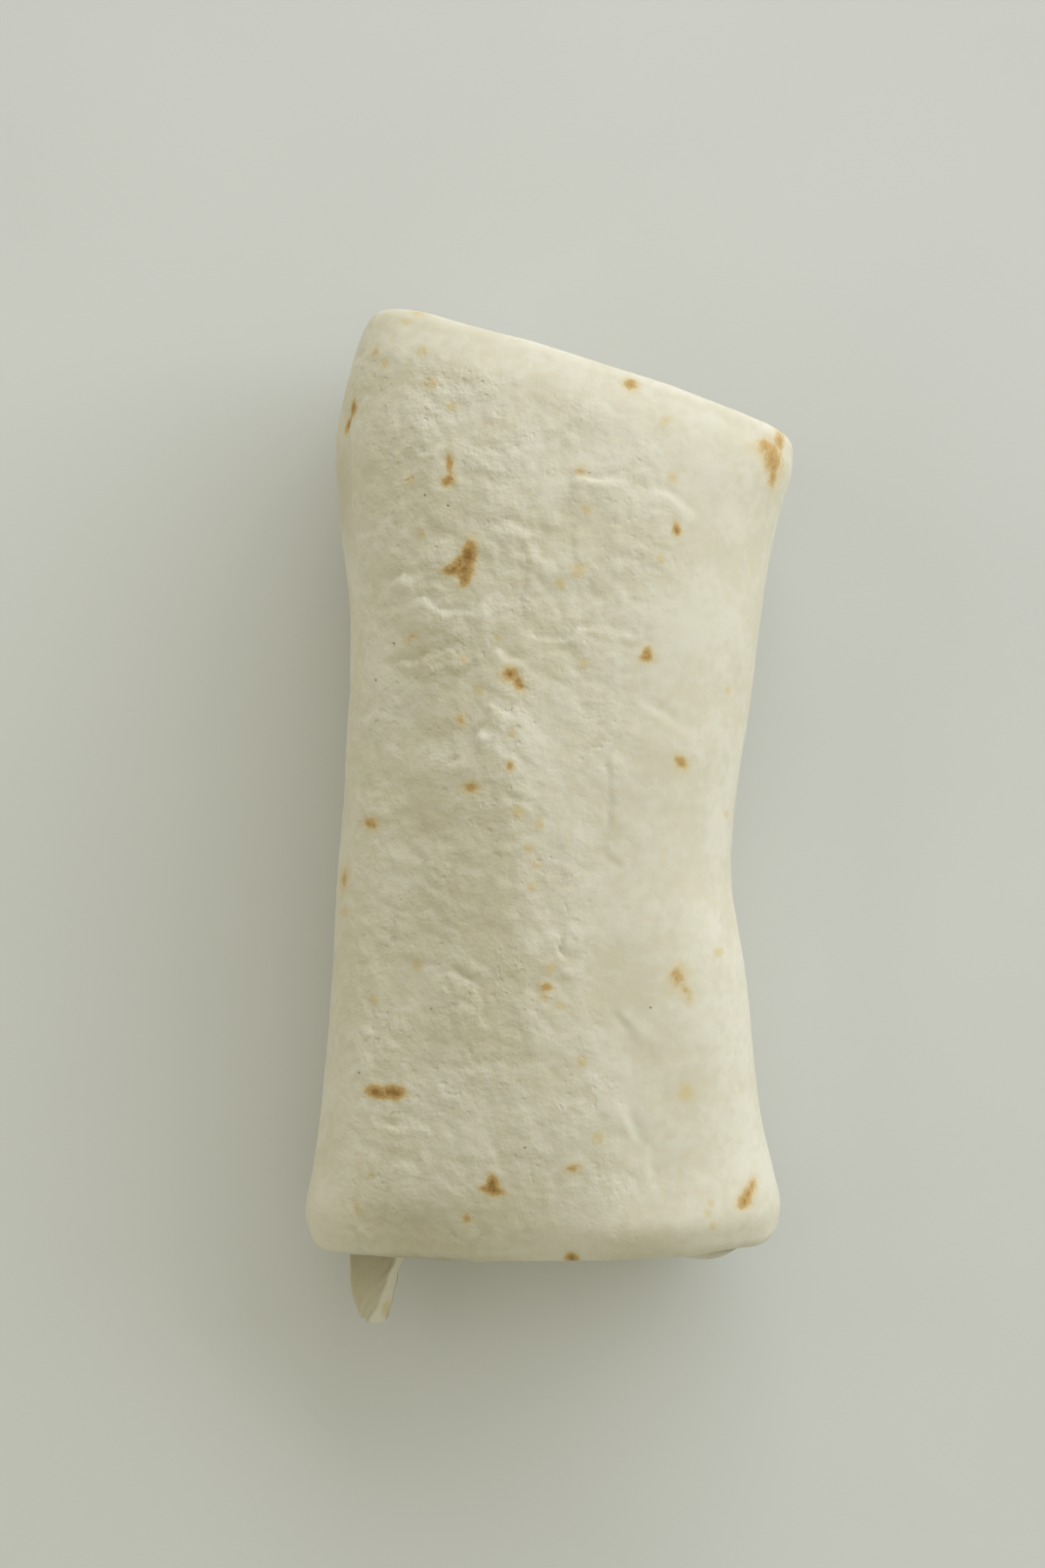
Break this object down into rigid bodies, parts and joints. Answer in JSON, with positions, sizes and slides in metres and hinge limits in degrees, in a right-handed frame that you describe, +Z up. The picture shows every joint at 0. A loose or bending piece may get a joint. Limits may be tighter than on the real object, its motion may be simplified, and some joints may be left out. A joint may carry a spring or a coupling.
{
  "type": "chimichanga",
  "caption": "Folded and rolled flour tortilla round a hidden filling, not yet fried, lying seam side down, with its ends tucked in and one loose corner of dough.",
  "frame": {"origin": "under the middle of the bounding box, on the surface that the wrap lies on", "axes": "+X across the roll, +Y along the roll towards the slanted end, away from the end with the loose corner, +Z up"},
  "size_m": [0.0718, 0.1494, 0.039],
  "materials": {
    "tortilla": "matt, floury, with brown toasted spots"
  },
  "bodies": {
    "root": {"tortilla_wrap": "tortilla"}
  },
  "joints": []
}
